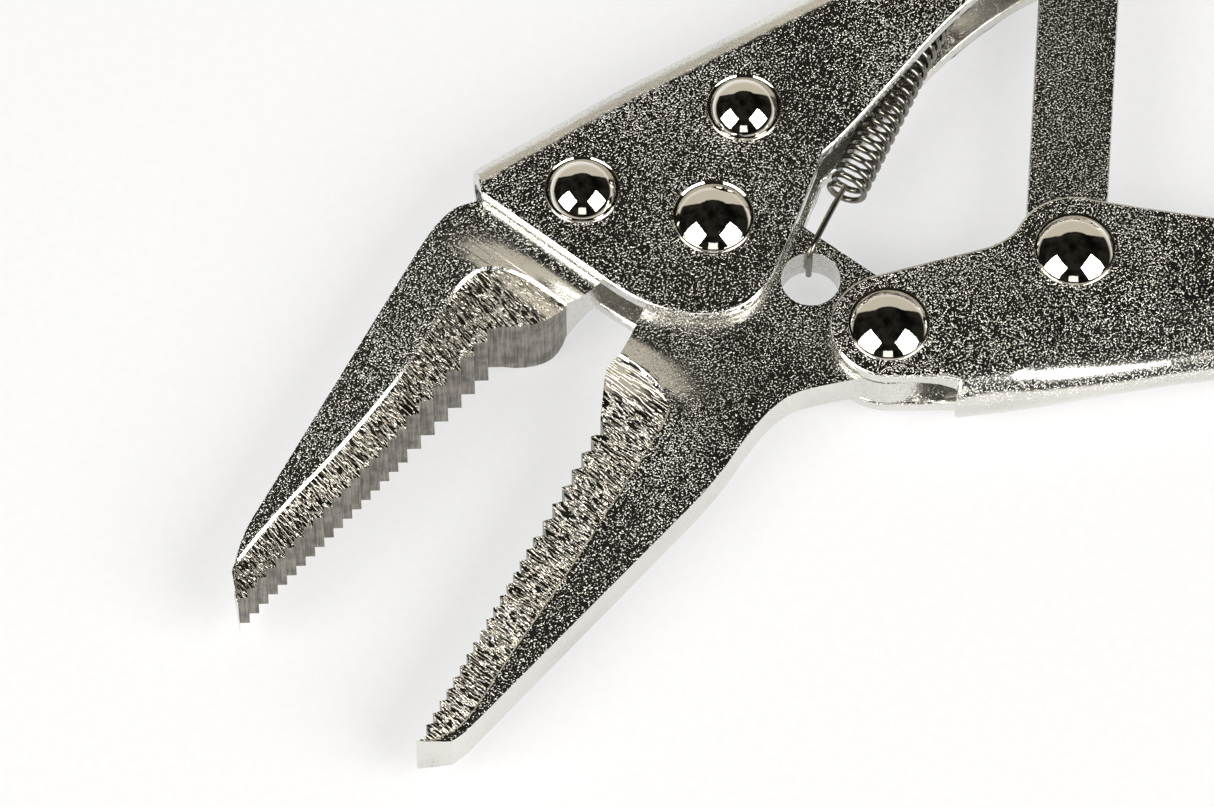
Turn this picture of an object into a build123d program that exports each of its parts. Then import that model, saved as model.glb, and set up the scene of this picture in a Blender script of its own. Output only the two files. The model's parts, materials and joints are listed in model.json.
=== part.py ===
"""Long-nose locking pliers, 6.5 inch size, lying on one side with the jaws open.

Row frame: the origin is on the jaw pivot's axis, on the flat of that rivet's underside head.
+X runs along the upper handle towards the adjusting screw, +Z is the thickness of the tool.
"""
import os
from math import atan2, cos, degrees, hypot, radians, sin

from build123d import *

os.makedirs("parts", exist_ok=True)

# Driving dimensions, in millimetres and degrees
MID = 5.8                   # height of the middle plane above the surface
SHEET = 1.65                # handle sheet
HEAD_WIDTH = 7.6            # outer width of both channels at the rivets
GRIP_WIDTH = 9.8            # outer width of both channels at the grips
TANG = 4.24                 # fixed jaw's tang, clamped between the cheeks
PLATE = 4.0                 # movable jaw's ear and the toggle link
SIDE_TAPER = 0.38           # loss of jaw width per millimetre from the teeth to the back
TIP_WIDTH = 6.0             # width of a tooth face at the tip
THROAT_WIDTH = 9.4          # and at the throat
COARSE_PITCH = 2.08
COARSE_TEETH = 7
FINE_PITCH = 1.41
NOTCH_DEPTH = 0.48          # depth of a notch, as a share of its pitch
PLAY = 0.05                 # radial play of a turning joint

JAW_PIVOT = (0, 0)
FRONT_RIVET = (-9.9, 9.3)
REAR_RIVET = (9.1, 9.4)
HANDLE_PIVOT = (9.0, -19.4)
TOGGLE_PIVOT = (29.6, -21.4)
STEM = 2.5                  # rivet shank radius
PIVOT_HEAD = 4.15           # head radius of the pivot rivets
JAW_HEAD = 3.85             # head radius of the two rivets that hold the fixed jaw
PIVOT_HEAD_HEIGHT = 2.0
JAW_HEAD_HEIGHT = 2.3
HEAD_FLAT = 1.8             # radius of the flat on an underside head

BOSS = 7.6                  # movable jaw's boss about the jaw pivot
LOBE = 5.8                  # its lobe about the handle pivot
TANG_CLEARANCE = 0.6        # gap between the boss and the tang around it
SPRING_HOLE = (5.4, -10.2)
SPRING_HOLE_RADIUS = 3.0

GRIP_ANGLE = -43            # direction of the lower handle, jaws open
GRIP_LENGTH = 62.0          # from the toggle pivot to the end of the lower handle
TOGGLE_ANGLE = 57.4         # direction of the toggle link, jaws open
TOGGLE_LENGTH = 40.0
TOGGLE_HALF_WIDTH = 4.1
TOGGLE_NOSE = 2.6
LEVER_PIVOT = (22.0, 1.0)   # along and across the lower handle, from the toggle pivot
LEVER_PIN = 1.75
LEVER_PIN_HEAD = 3.0
LEVER_PIN_SEAT = 4.7        # from the middle plane to the seat under a pin's head
LEVER_HUB = 3.3
LEVER_SHEET = 3.2

CROWN = 19.0                # top of the upper handle's spine at the grip
SCREW_AXIS = CROWN - GRIP_WIDTH / 2
SCREW_RADIUS = 3.0
SCREW_TIP = 56.6
SCREW_SHOULDER = 60.0       # where the thread starts behind the plain tip
BARREL_START = 72.0
BARREL_END = 84.0
KNOB_START = 86.5
KNOB_END = 100.5
KNOB_RADIUS = MID

WIRE = 0.325                # spring wire radius
COIL = 2.1                  # spring's outer radius
COIL_START = 8.7            # along the spring from its front hook
COIL_END = 34.4
HOOK_POINT = (6.6, -7.9)    # where the front hook drops through the ear
ANCHOR = (37.5, 14.3)       # centre of the rear hook's loop
HOOK_LOOP = 1.5
TAB_HALF_THICKNESS = 0.6

FRONT = Plane.XY.offset(MID)
GRIP = Plane(
    origin=(*TOGGLE_PIVOT, MID),
    x_dir=(cos(radians(GRIP_ANGLE)), sin(radians(GRIP_ANGLE)), 0),
    z_dir=(0, 0, 1),
)
LINK = Plane(
    origin=(*TOGGLE_PIVOT, MID),
    x_dir=(cos(radians(TOGGLE_ANGLE)), sin(radians(TOGGLE_ANGLE)), 0),
    z_dir=(0, 0, 1),
)
HANDLE_PIVOT_IN_GRIP = GRIP.to_local_coords(Vector(*HANDLE_PIVOT, MID))


def on_circle(centre, radius, angle):
    """Point of a circle at an angle in degrees."""
    return (centre[0] + radius * cos(radians(angle)), centre[1] + radius * sin(radians(angle)))


def teeth(start, end, pitch, count):
    """Crests and roots of V teeth in a straight edge, the notches to the left of its direction."""
    length = hypot(end[0] - start[0], end[1] - start[1])
    along = ((end[0] - start[0]) / length, (end[1] - start[1]) / length)
    points = []
    for tooth in range(count):
        crest = tooth * pitch
        root = crest + pitch / 2
        depth = pitch * NOTCH_DEPTH
        points.append((start[0] + along[0] * crest, start[1] + along[1] * crest))
        root_x = start[0] + along[0] * root - along[1] * depth
        root_y = start[1] + along[1] * root + along[0] * depth
        points.append((root_x, root_y))
    return points


def channel_section(plane, width, depth=40):
    """Section of a pressed channel: a full-round spine at the plane's origin, and two cheeks."""
    with BuildSketch(plane) as section:
        with Locations((width / 2, 0)):
            Circle(width / 2)
            Rectangle(depth, width, align=(Align.MIN, Align.CENTER))
    return section.sketch


def upper_section(x, crown, width, inset):
    """Section across the upper handle, inset from its outer face."""
    plane = Plane(origin=(x, crown - inset, MID), x_dir=(0, -1, 0), z_dir=(1, 0, 0))
    return channel_section(plane, width - 2 * inset)


def lower_section(along, crown, slope, width, inset):
    """Section across the lower handle, where its spine climbs at a slope in degrees."""
    heading = radians(GRIP_ANGLE + slope)
    inward = Vector(-sin(heading), cos(heading), 0)
    spine = GRIP.from_local_coords(Vector(along, crown, 0))
    plane = Plane(
        origin=spine + inward * inset,
        x_dir=inward,
        z_dir=(cos(heading), sin(heading), 0),
    )
    return channel_section(plane, width - 2 * inset)


def jaw_section(tip, angle, distance, width, taper, side):
    """Trapezoid across a jaw, widest at its tooth face and narrow at its back.

    The tooth face runs from the tip at an angle in degrees. Its back is to the left of
    that direction where side is 1, and to the right where it is -1.
    """
    along = Vector(cos(radians(angle)), sin(radians(angle)), 0)
    back = Vector(-along.Y, along.X, 0) * side
    plane = Plane(
        origin=Vector(*tip, MID) + along * distance,
        x_dir=back,
        z_dir=along,
    )
    reach = 20
    below = 3
    wide = width / 2 + taper / 2 * below
    narrow = max(width / 2 - taper / 2 * reach, 0.3)
    with BuildSketch(plane) as section:
        with BuildLine():
            Polyline((-below, -wide), (reach, -narrow), (reach, narrow), (-below, wide), close=True)
        make_face()
    return section.sketch


def upper_head_stations(inset):
    """Sections along the parallel-sided head of the upper handle."""
    return [
        upper_section(-22, 18.0, HEAD_WIDTH, inset),
        upper_section(0, CROWN, HEAD_WIDTH, inset),
        upper_section(13.5, CROWN, HEAD_WIDTH, inset),
    ]


def upper_stations(inset):
    """Sections along the flare and grip of the upper handle, up to its barrel."""
    return [
        upper_section(13.5, CROWN, HEAD_WIDTH, inset),
        upper_section(20, CROWN, 8.0, inset),
        upper_section(36, CROWN, 9.4, inset),
        upper_section(45, CROWN, GRIP_WIDTH, inset),
        upper_section(58, CROWN, GRIP_WIDTH, inset),
        upper_section(BARREL_START, CROWN, GRIP_WIDTH, inset),
    ]


def lower_front_stations(inset):
    """Sections along the lower handle's parallel-sided head, with its two ears."""
    return [
        lower_section(-25, -30, 17, HEAD_WIDTH, inset),
        lower_section(-9, -19.3, 17, HEAD_WIDTH, inset),
        lower_section(0, -15.9, 22, HEAD_WIDTH, inset),
        lower_section(12, -10.8, 21, HEAD_WIDTH, inset),
    ]


def lower_stations(inset):
    """Sections from the lower handle's head, past its waist, to the grip's end."""
    return [
        lower_section(12, -10.8, 21, HEAD_WIDTH, inset),
        lower_section(18, -8.6, 16, 8.5, inset),
        lower_section(27, -6.9, 4, 9.5, inset),
        lower_section(42, -7.9, -3, GRIP_WIDTH, inset),
        lower_section(66, -6.4, 6, GRIP_WIDTH, inset),
    ]


# Upper handle: a sheet channel with a full-round spine, closed to a tapped barrel at the rear
with BuildPart() as upper_handle:
    loft(sections=upper_head_stations(0), ruled=True)
    loft(sections=upper_stations(0))
    loft(sections=upper_head_stations(SHEET), ruled=True, mode=Mode.SUBTRACT)
    loft(sections=upper_stations(SHEET), mode=Mode.SUBTRACT)
    with BuildSketch(FRONT):
        with BuildLine():
            Polyline((BARREL_START, 9.6), (BARREL_START, 24), (-17.7, 24), (-17.7, 18.3))
            Line((-17.7, 18.3), (-18.9, 14.1))
            front_edge = Line((-18.9, 14.1), (-13.3, -0.2))
            waist = (25, 4.9)
            Spline(
                *((-13.3, -0.2), (-8.5, -7.7), (-2.4, -10.3), (3.5, -7.4), (12.8, 0.4), waist),
                tangents=[front_edge % 1, (1, 0.4)],
            )
            Spline(waist, (33.6, 7.9), (42, 9.4), tangents=[(1, 0.4), (1, 0.1)])
            Line((42, 9.4), (BARREL_START, 9.6))
        make_face()
    extrude(amount=GRIP_WIDTH, both=True, mode=Mode.INTERSECT)
    with BuildSketch(Plane(origin=(BARREL_START, SCREW_AXIS, MID), z_dir=(1, 0, 0))):
        Circle(GRIP_WIDTH / 2)
        Circle(SCREW_RADIUS + PLAY, mode=Mode.SUBTRACT)
    extrude(amount=BARREL_END - BARREL_START)
    # tab bent down from the spine, holding the spring's rear hook
    hook_hole = ANCHOR[1] + HOOK_LOOP
    with BuildSketch(Plane(origin=(ANCHOR[0], hook_hole, MID), x_dir=(0, 1, 0), z_dir=(1, 0, 0))):
        Rectangle(4.2, 2.8)
        Circle(0.85, mode=Mode.SUBTRACT)
    extrude(amount=TAB_HALF_THICKNESS, both=True)
    with BuildSketch(FRONT):
        with Locations(FRONT_RIVET, REAR_RIVET, JAW_PIVOT):
            Circle(STEM)
    extrude(amount=GRIP_WIDTH, both=True, mode=Mode.SUBTRACT)
upper_handle.part.label = "upper_handle"
export_step(upper_handle.part, "parts/upper_handle.step")

# Fixed jaw: a long nose with a toothed underside, its tang riveted between the upper cheeks
NOSE_TIP = (-62.4, -14.1)
NOSE_ANGLE = 20.0
NOSE_THROAT = 45.6          # from the tip to the full-width end of the nose
NOSE_NECK = 49.9            # and to where it is as thin as the tang
fine_end = on_circle(NOSE_TIP, 18 * FINE_PITCH, NOSE_ANGLE)
coarse_end = on_circle(fine_end, COARSE_TEETH * COARSE_PITCH, NOSE_ANGLE)
tang_corner = on_circle(JAW_PIVOT, BOSS + TANG_CLEARANCE, 172)
with BuildPart() as fixed_jaw:
    with BuildSketch(FRONT) as nose_outline:
        with BuildLine():
            Polyline(
                *teeth(NOSE_TIP, fine_end, FINE_PITCH, 18),
                *teeth(fine_end, coarse_end, COARSE_PITCH, COARSE_TEETH),
                coarse_end,
            )
            ThreePointArc(coarse_end, (-20.9, -2.1), (-17.6, -1.0))
            Polyline((-17.6, -1.0), tang_corner, (-12, 14.2), (-18.5, 14.2))
            Spline((-18.5, 14.2), (-22, 14.9), (-27.5, 12.3), tangents=[(-1, 0.2), (-1, -0.633)])
            Line((-27.5, 12.3), (-55.3, -5.3))
            ThreePointArc((-55.3, -5.3), (-60.0, -9.2), NOSE_TIP)
        make_face()
    extrude(amount=THROAT_WIDTH, both=True)
    loft(
        sections=[
            jaw_section(NOSE_TIP, NOSE_ANGLE, -3, TIP_WIDTH, SIDE_TAPER, 1),
            jaw_section(NOSE_TIP, NOSE_ANGLE, NOSE_THROAT, THROAT_WIDTH, SIDE_TAPER, 1),
            jaw_section(NOSE_TIP, NOSE_ANGLE, NOSE_NECK, TANG, 0, 1),
        ],
        ruled=True,
        mode=Mode.INTERSECT,
    )
    # tang around the two rivets, clear of the movable jaw's boss
    with BuildSketch(FRONT):
        with BuildLine():
            tang_arc = CenterArc(JAW_PIVOT, BOSS + TANG_CLEARANCE, 30, 142)
            Line((-17.6, -1.0), tang_arc @ 1)
            Polyline(tang_arc @ 0, (13.2, 5.2), (13.2, 14.2), (-18.5, 14.2))
            Spline((-18.5, 14.2), (-22, 14.9), (-24.4, 14.2), tangents=[(-1, 0.2), (-1, -0.5)])
            Line((-24.4, 14.2), (-17.6, -1.0))
        make_face()
    extrude(amount=TANG / 2, both=True)
    with BuildSketch(FRONT):
        with Locations(FRONT_RIVET, REAR_RIVET):
            Circle(STEM)
    extrude(amount=THROAT_WIDTH, both=True, mode=Mode.SUBTRACT)
fixed_jaw.part.label = "fixed_jaw"
export_step(fixed_jaw.part, "parts/fixed_jaw.step")

# Movable jaw: ear and boss of plain plate, thickening to a long nose with teeth on top
LIP_TIP = (-54.5, -35.7)
LIP_START = (-21.5, -14.5)
LIP_ANGLE = degrees(atan2(LIP_START[1] - LIP_TIP[1], LIP_START[0] - LIP_TIP[0]))
lip_fine = on_circle(LIP_START, COARSE_TEETH * COARSE_PITCH, LIP_ANGLE + 180)
LIP_THROAT = 41.5           # from the tip to the full-width end of the nose
LIP_NECK = 46.4             # and to where it is as thin as the ear
with BuildPart() as movable_jaw:
    with BuildSketch(FRONT) as jaw_outline:
        with BuildLine():
            boss_arc = CenterArc(JAW_PIVOT, BOSS, -20, 216)
            Polyline(boss_arc @ 1, (-15.7, -8.4))
            ThreePointArc((-15.7, -8.4), (-17.5, -9.2), (-18.7, -10.5))
            Line((-18.7, -10.5), LIP_START)
            Polyline(
                *teeth(LIP_START, LIP_TIP, COARSE_PITCH, COARSE_TEETH),
                *teeth(lip_fine, LIP_TIP, FINE_PITCH, 17),
                LIP_TIP,
            )
            Polyline(LIP_TIP, (-51.4, -37.3), (-49.6, -37.0))
            back = Line((-49.6, -37.0), (-17.0, -26.1))
            lobe_arc = CenterArc(HANDLE_PIVOT, LOBE, 212, 158)
            Spline(
                *((-17.0, -26.1), (-9.5, -22.6), (-2, -20.7), lobe_arc @ 0),
                tangents=[back % 1, lobe_arc % 0],
            )
            Polyline(lobe_arc @ 1, (11.3, -13.0), (8.0, -5.0), boss_arc @ 0)
        make_face()
    extrude(amount=THROAT_WIDTH, both=True)
    loft(
        sections=[
            jaw_section(LIP_TIP, LIP_ANGLE, -3, TIP_WIDTH, SIDE_TAPER, -1),
            jaw_section(LIP_TIP, LIP_ANGLE, LIP_THROAT, THROAT_WIDTH, SIDE_TAPER, -1),
            jaw_section(LIP_TIP, LIP_ANGLE, LIP_NECK, PLATE, 0, -1),
        ],
        ruled=True,
        mode=Mode.INTERSECT,
    )
    extrude(jaw_outline.sketch, amount=PLATE / 2, both=True)
    with BuildSketch(FRONT):
        with Locations(JAW_PIVOT, HANDLE_PIVOT):
            Circle(STEM + PLAY)
        with Locations(SPRING_HOLE):
            Circle(SPRING_HOLE_RADIUS)
    extrude(amount=THROAT_WIDTH, both=True, mode=Mode.SUBTRACT)
movable_jaw.part.label = "movable_jaw"
export_step(movable_jaw.part, "parts/movable_jaw.step")

# Lower handle: a sheet channel with its spine cut away over the front ears
with BuildPart() as lower_handle:
    loft(sections=lower_front_stations(0), ruled=True)
    loft(sections=lower_stations(0))
    loft(sections=lower_front_stations(SHEET), ruled=True, mode=Mode.SUBTRACT)
    loft(sections=lower_stations(SHEET), mode=Mode.SUBTRACT)
    with BuildSketch(GRIP):
        with BuildLine():
            ear = (HANDLE_PIVOT_IN_GRIP.X, HANDLE_PIVOT_IN_GRIP.Y)
            ear_arc = CenterArc(ear, 5.9, 285, -165)
            knuckle_arc = CenterArc((0, 0), 6.3, 166, -82)
            Line(ear_arc @ 1, (-8.6, -1.5))
            Spline((-8.6, -1.5), (-7.2, -0.3), knuckle_arc @ 0, tangents=[(1, 0.57), (0.25, 1)])
            Polyline(knuckle_arc @ 1, (14, 6.8), (GRIP_LENGTH - 8, 6.9))
            ThreePointArc(
                (GRIP_LENGTH - 8, 6.9),
                (GRIP_LENGTH - 2.4, 4.4),
                (GRIP_LENGTH, -1.5),
            )
            Polyline((GRIP_LENGTH, -1.5), (GRIP_LENGTH - 1.2, -12), (-8.3, -24), (-8.3, -17.0))
            Polyline((-8.3, -17.0), (-10.2, -17.2), ear_arc @ 0)
        make_face()
    extrude(amount=GRIP_WIDTH, both=True, mode=Mode.INTERSECT)
    with BuildSketch(GRIP):
        with Locations(ear, (0, 0)):
            Circle(STEM)
        with Locations(LEVER_PIVOT):
            Circle(LEVER_PIN)
    extrude(amount=GRIP_WIDTH, both=True, mode=Mode.SUBTRACT)
lower_handle.part.label = "lower_handle"
export_step(lower_handle.part, "parts/lower_handle.step")

# Toggle link: a flat bar from the lower handle to the adjusting screw's tip
with BuildPart() as toggle_link:
    with BuildSketch(LINK):
        with BuildLine():
            foot_arc = CenterArc((0, 0), 5.1, 108, 198)
            shoulder = TOGGLE_LENGTH - 7
            Polyline(foot_arc @ 1, (6, -3.3), (shoulder, -TOGGLE_HALF_WIDTH))
            Line((shoulder, -TOGGLE_HALF_WIDTH), (TOGGLE_LENGTH, -TOGGLE_NOSE))
            CenterArc((TOGGLE_LENGTH, 0), TOGGLE_NOSE, -90, 180)
            Line((TOGGLE_LENGTH, TOGGLE_NOSE), (shoulder, TOGGLE_HALF_WIDTH))
            Polyline((shoulder, TOGGLE_HALF_WIDTH), (5, 4.9), foot_arc @ 0)
        make_face()
        Circle(STEM + PLAY, mode=Mode.SUBTRACT)
    extrude(amount=PLATE / 2, both=True)
toggle_link.part.label = "toggle_link"
export_step(toggle_link.part, "parts/toggle_link.step")

# Release lever: a nose under the toggle link, a hub on its pin, and a tail with a thumb pad
with BuildPart() as release_lever:
    with BuildSketch(GRIP):
        with BuildLine():
            Polyline((30, -1.6), (16, -2.2), (11.2, 0.9), (11.4, 2.2), (18, 4.3), (26, 4.8))
            tail_top = Spline((26, 4.8), (40, 9.6), (54, 12.6), tangents=[(1, 0.1), (1, 0.1)])
            RadiusArc(tail_top @ 1, (54, 9.8), 1.4)
            Spline((54, 9.8), (42, 6.6), (30, -1.6), tangents=[(-1, -0.1), (-1, -0.5)])
        make_face()
    extrude(amount=LEVER_SHEET / 2, both=True)
    with BuildSketch(GRIP):
        with Locations(LEVER_PIVOT):
            Circle(LEVER_HUB)
    extrude(amount=2.6, both=True)
    pad = Plane(GRIP.from_local_coords(Vector(48.5, 11.6, 0)), x_dir=GRIP.x_dir, z_dir=(0, 0, 1))
    with BuildSketch(pad.rotated((0, 0, 9))):
        Rectangle(12, 1.5)
    extrude(amount=2.9, both=True)
    with BuildSketch(GRIP):
        with Locations(LEVER_PIVOT):
            Circle(LEVER_PIN + PLAY)
    extrude(amount=GRIP_WIDTH, both=True, mode=Mode.SUBTRACT)
release_lever.part.label = "release_lever"
export_step(release_lever.part, "parts/release_lever.step")

# Rivets: a shank through both cheeks, a domed head on top and one with a flat underneath
RIVETS = {
    "jaw_pivot_rivet": (JAW_PIVOT, PIVOT_HEAD, PIVOT_HEAD_HEIGHT),
    "handle_pivot_rivet": (HANDLE_PIVOT, PIVOT_HEAD, PIVOT_HEAD_HEIGHT),
    "toggle_pivot_rivet": (TOGGLE_PIVOT, PIVOT_HEAD, PIVOT_HEAD_HEIGHT),
    "jaw_rivet_front": (FRONT_RIVET, JAW_HEAD, JAW_HEAD_HEIGHT),
    "jaw_rivet_rear": (REAR_RIVET, JAW_HEAD, JAW_HEAD_HEIGHT),
}
under = MID - HEAD_WIDTH / 2
over = MID + HEAD_WIDTH / 2
apex = 0.3                  # radius of the small flat on a dome
for name, (centre, head, height) in RIVETS.items():
    with BuildPart() as rivet:
        with BuildSketch(Plane(origin=(*centre, 0), x_dir=(1, 0, 0), z_dir=(0, -1, 0))):
            with BuildLine():
                Line((0, 0), (HEAD_FLAT, 0))
                ThreePointArc((HEAD_FLAT, 0), (head * 0.8, under * 0.36), (head, under))
                Polyline((head, under), (STEM, under), (STEM, over), (head, over))
                dome = (head * 0.72, over + height * 0.52)
                ThreePointArc((head, over), dome, (apex, over + height))
                Polyline((apex, over + height), (0, over + height), (0, 0))
            make_face()
        revolve(axis=Axis((*centre, 0), (0, 0, 1)))
    rivet.part.label = name
    export_step(rivet.part, f"parts/{name}.step")

# Release lever's pin: a plain pin with low heads, flush with the widest parts of the tool
lever_pin_centre = GRIP.from_local_coords(Vector(*LEVER_PIVOT, 0))
with BuildPart() as release_lever_pin:
    with BuildSketch(Plane(origin=(lever_pin_centre.X, lever_pin_centre.Y, 0))):
        Circle(LEVER_PIN)
    extrude(amount=2 * MID)
    for low, high in ((PLAY, MID - LEVER_PIN_SEAT), (MID + LEVER_PIN_SEAT, 2 * MID)):
        with BuildSketch(Plane(origin=(lever_pin_centre.X, lever_pin_centre.Y, low))):
            Circle(LEVER_PIN_HEAD)
        extrude(amount=high - low)
release_lever_pin.part.label = "release_lever_pin"
export_step(release_lever_pin.part, "parts/release_lever_pin.step")

# Return spring: a closed coil with a hook through the ear and a loop through the handle's tab
spring_way = Vector(ANCHOR[0] - HOOK_POINT[0], ANCHOR[1] - HOOK_POINT[1], 0)
SPRING = Plane(origin=(*HOOK_POINT, MID), x_dir=spring_way, z_dir=(0, 0, 1))
loop_centre = spring_way.length
wire_line = COIL - WIRE
with BuildPart() as return_spring:
    coil_origin = SPRING.from_local_coords(Vector(COIL_START, 0, 0))
    with BuildSketch(Plane(origin=coil_origin, z_dir=spring_way)):
        Circle(COIL)
        Circle(COIL - 2 * WIRE, mode=Mode.SUBTRACT)
    extrude(amount=COIL_END - COIL_START)
    side = Plane(origin=SPRING.origin, x_dir=spring_way, z_dir=SPRING.y_dir * -1)
    with BuildLine(side):
        drop = PLATE / 2 + 0.45 + WIRE
        front_hook = FilletPolyline(
            (COIL_START + 0.4, wire_line), (5.6, drop), (0, drop), (0, -drop + 1.0), radius=0.7
        )
    with BuildSketch(Plane(origin=front_hook @ 0, z_dir=front_hook % 0)):
        Circle(WIRE)
    sweep(path=front_hook)
    with BuildLine(SPRING):
        rear_hook = Line((COIL_END - 0.4, wire_line), (loop_centre, HOOK_LOOP))
        rear_loop = ThreePointArc(
            (loop_centre, HOOK_LOOP), (loop_centre + HOOK_LOOP, 0), (loop_centre, -HOOK_LOOP)
        )
    for span in (rear_hook, rear_loop):
        with BuildSketch(Plane(origin=span @ 0, z_dir=span % 0)):
            Circle(WIRE)
        sweep(path=span)
return_spring.part.label = "return_spring"
export_step(return_spring.part, "parts/return_spring.step")

# Adjusting screw: a plain tip that the toggle link bears on, then the thread and knurled knob
SCREW = Plane(origin=(SCREW_TIP, SCREW_AXIS, MID), z_dir=(1, 0, 0))
with BuildPart() as screw_tip:
    with BuildSketch(SCREW):
        Circle(2.5)
    extrude(amount=SCREW_SHOULDER - SCREW_TIP - PLAY)
    chamfer(screw_tip.faces().sort_by(Axis.X)[0].edges(), 0.4)
screw_tip.part.label = "screw_tip"
export_step(screw_tip.part, "parts/screw_tip.step")

with BuildPart() as adjusting_screw:
    with BuildSketch(SCREW.offset(SCREW_SHOULDER - SCREW_TIP)):
        Circle(SCREW_RADIUS)
    extrude(amount=KNOB_START - SCREW_SHOULDER)
    with BuildSketch(SCREW.offset(KNOB_START - SCREW_TIP)):
        Circle(KNOB_RADIUS)
    extrude(amount=KNOB_END - KNOB_START)
    rims = adjusting_screw.edges().filter_by(GeomType.CIRCLE).group_by(SortBy.RADIUS)[-1]
    chamfer(rims, 0.8)
adjusting_screw.part.label = "adjusting_screw"
export_step(adjusting_screw.part, "parts/adjusting_screw.step")
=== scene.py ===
import json
from math import asin, cos, pi, radians, sin, tau

import bmesh
import bpy
from mathutils import Matrix, Vector
from mathutils.bvhtree import BVHTree


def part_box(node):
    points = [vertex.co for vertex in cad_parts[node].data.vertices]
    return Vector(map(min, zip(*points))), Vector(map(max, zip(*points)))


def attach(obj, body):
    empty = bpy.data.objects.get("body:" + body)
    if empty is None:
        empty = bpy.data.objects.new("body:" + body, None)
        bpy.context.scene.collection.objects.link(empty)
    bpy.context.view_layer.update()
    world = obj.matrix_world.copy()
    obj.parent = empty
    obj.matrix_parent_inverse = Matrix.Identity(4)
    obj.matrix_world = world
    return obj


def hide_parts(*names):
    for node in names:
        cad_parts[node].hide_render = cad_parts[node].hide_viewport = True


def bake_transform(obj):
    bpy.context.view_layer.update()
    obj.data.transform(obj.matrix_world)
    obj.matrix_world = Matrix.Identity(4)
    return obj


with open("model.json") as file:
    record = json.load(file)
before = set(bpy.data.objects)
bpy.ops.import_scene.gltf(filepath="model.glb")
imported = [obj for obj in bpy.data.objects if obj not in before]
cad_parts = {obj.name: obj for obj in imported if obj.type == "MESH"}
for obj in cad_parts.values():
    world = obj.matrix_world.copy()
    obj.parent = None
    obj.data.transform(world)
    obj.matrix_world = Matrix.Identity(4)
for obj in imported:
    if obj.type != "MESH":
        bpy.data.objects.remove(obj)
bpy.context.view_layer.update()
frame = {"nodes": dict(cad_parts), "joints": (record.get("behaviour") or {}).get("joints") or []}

# Studio: a white sheet of paper under the pliers and a long lens at about 62 degrees above it.
# Two square softboxes stand on their corners on the near side, a cream wall is behind, and the
# ceiling over the pliers is draped dark, so flat nickel reads black between its sparkles.
MM = 0.001
CAMERA_TURN = radians(-30)
CAMERA_RISE = radians(62)
CAMERA_DISTANCE = 0.82
CAMERA_LENS = 243           # millimetres of focal length, on a sensor 36 wide
LAMP_DISTANCE = 1.0
SOFTBOX_RISE = radians(37)
SOFTBOX_SIDE = 0.74
SOFTBOX_POWER = 12
FILL_RISE = radians(27)
FILL_SIDE = 0.36
FILL_POWER = 0.5


def joint_place(name):
    """Where a joint's axis stands at rest."""
    return Vector(next(joint["pos_m"] for joint in frame["joints"] if joint["name"] == name))


jaw_pivot = joint_place("jaw_pivot")
mid_height = jaw_pivot.z
looked_at = jaw_pivot + Vector((-18.9, -11.3, 0)) * MM


def direction(turn, rise):
    """Unit vector from the pliers towards a turn and a rise, turn 0 being the near side."""
    return Vector((sin(turn) * cos(rise), -cos(turn) * cos(rise), sin(rise)))


camera_data = bpy.data.cameras.new("camera")
camera = bpy.data.objects.new("camera", camera_data)
bpy.context.scene.collection.objects.link(camera)
camera_data.lens = CAMERA_LENS
camera_data.sensor_width = 36
camera_data.clip_end = 10
towards_camera = direction(CAMERA_TURN, CAMERA_RISE)
camera.location = looked_at + towards_camera * CAMERA_DISTANCE
camera.rotation_euler = (-towards_camera).to_track_quat("-Z", "Y").to_euler()
bpy.context.scene.camera = camera
bpy.context.scene.view_settings.view_transform = "Standard"


def softbox(name, turn, rise, size, power):
    """Square area light aimed at the pliers, seen on its corner in a domed head."""
    lamp = bpy.data.lights.new(name, "AREA")
    lamp.shape = "SQUARE"
    lamp.size = size
    lamp.energy = power
    lamp.color = (1.0, 0.985, 0.95)
    light = bpy.data.objects.new(name, lamp)
    bpy.context.scene.collection.objects.link(light)
    towards = direction(turn, rise)
    light.location = looked_at + towards * LAMP_DISTANCE
    light.rotation_euler = towards.to_track_quat("Z", "Y").to_euler()


softbox("left_softbox", radians(-88), SOFTBOX_RISE, SOFTBOX_SIDE, SOFTBOX_POWER)
softbox("right_softbox", radians(28), SOFTBOX_RISE, SOFTBOX_SIDE, SOFTBOX_POWER)
softbox("front_fill", CAMERA_TURN, FILL_RISE, FILL_SIDE, FILL_POWER)


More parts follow.
